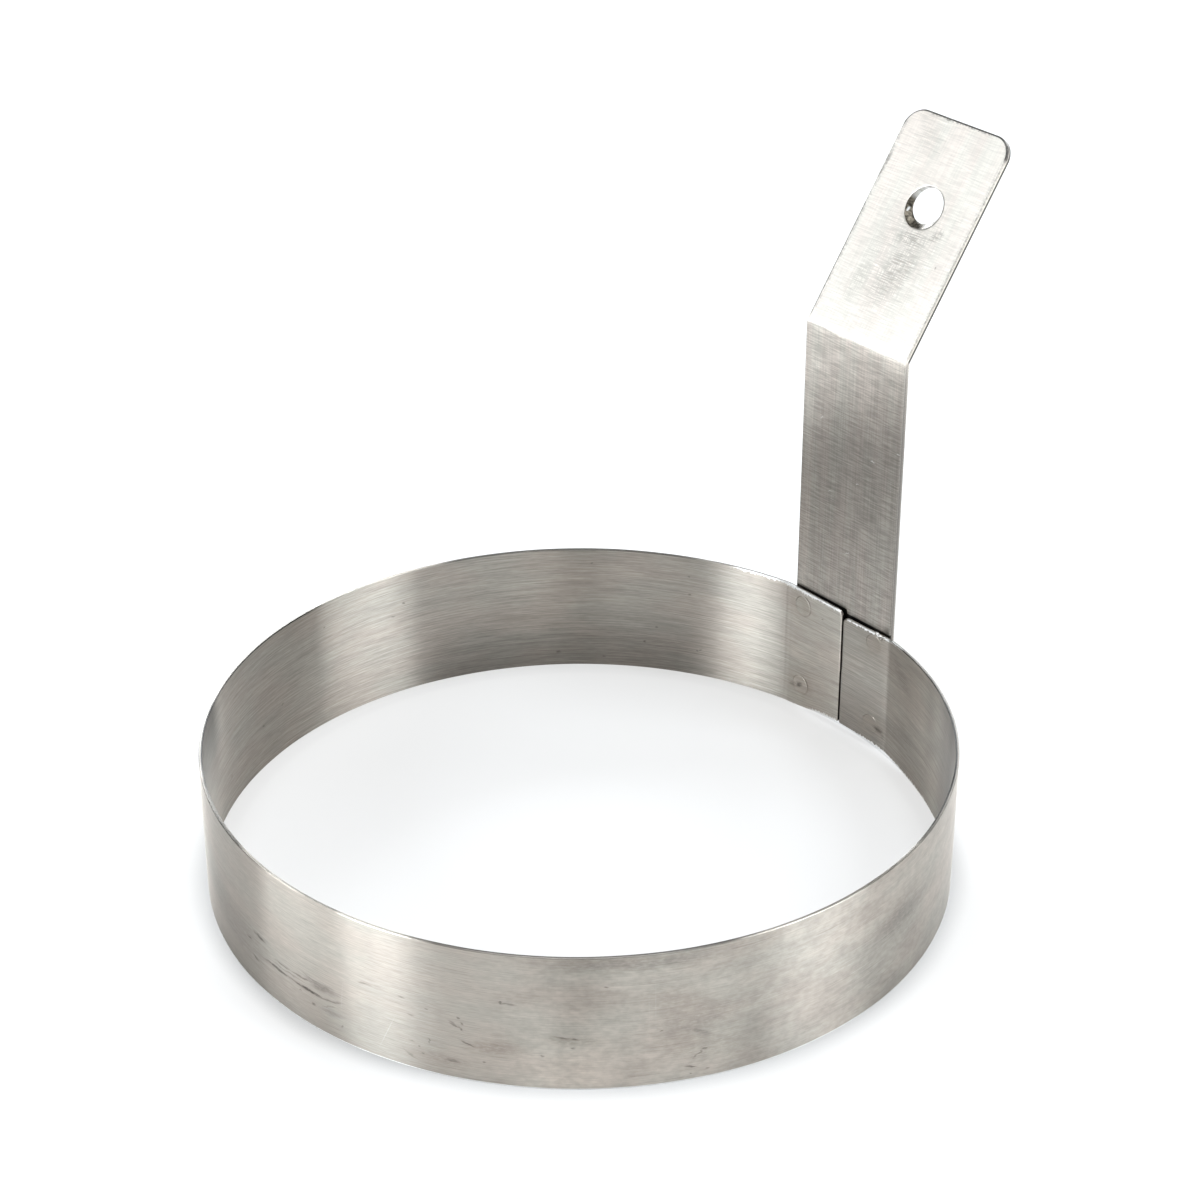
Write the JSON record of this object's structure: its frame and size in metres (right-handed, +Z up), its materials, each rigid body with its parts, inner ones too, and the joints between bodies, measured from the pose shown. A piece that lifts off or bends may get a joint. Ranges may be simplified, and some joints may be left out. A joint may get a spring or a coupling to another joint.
{
  "type": "egg ring",
  "caption": "Open sheet-steel ring that shapes a frying egg, with a bent upright strap handle spot-welded over its seam and a hanging hole in the tab.",
  "frame": {"origin": "middle of the object's footprint, on the plane that the ring's lower rim rests on", "axes": "+Z up, along the ring's axis; +Y from the ring's centre towards the handle; the handle stands on the plane X = 0"},
  "size_m": [0.1016, 0.1208, 0.0888],
  "materials": {
    "band_steel": "brushed along the band",
    "strap_steel": "finely brushed, with light handling scratches",
    "weld_steel": "dull, slightly heat-stained"
  },
  "bodies": {
    "root": {"ring_band": "band_steel", "handle_strap": "strap_steel", "spot_weld_upper_left": "weld_steel", "spot_weld_lower_left": "weld_steel", "spot_weld_upper_right": "weld_steel", "spot_weld_lower_right": "weld_steel"}
  },
  "joints": []
}
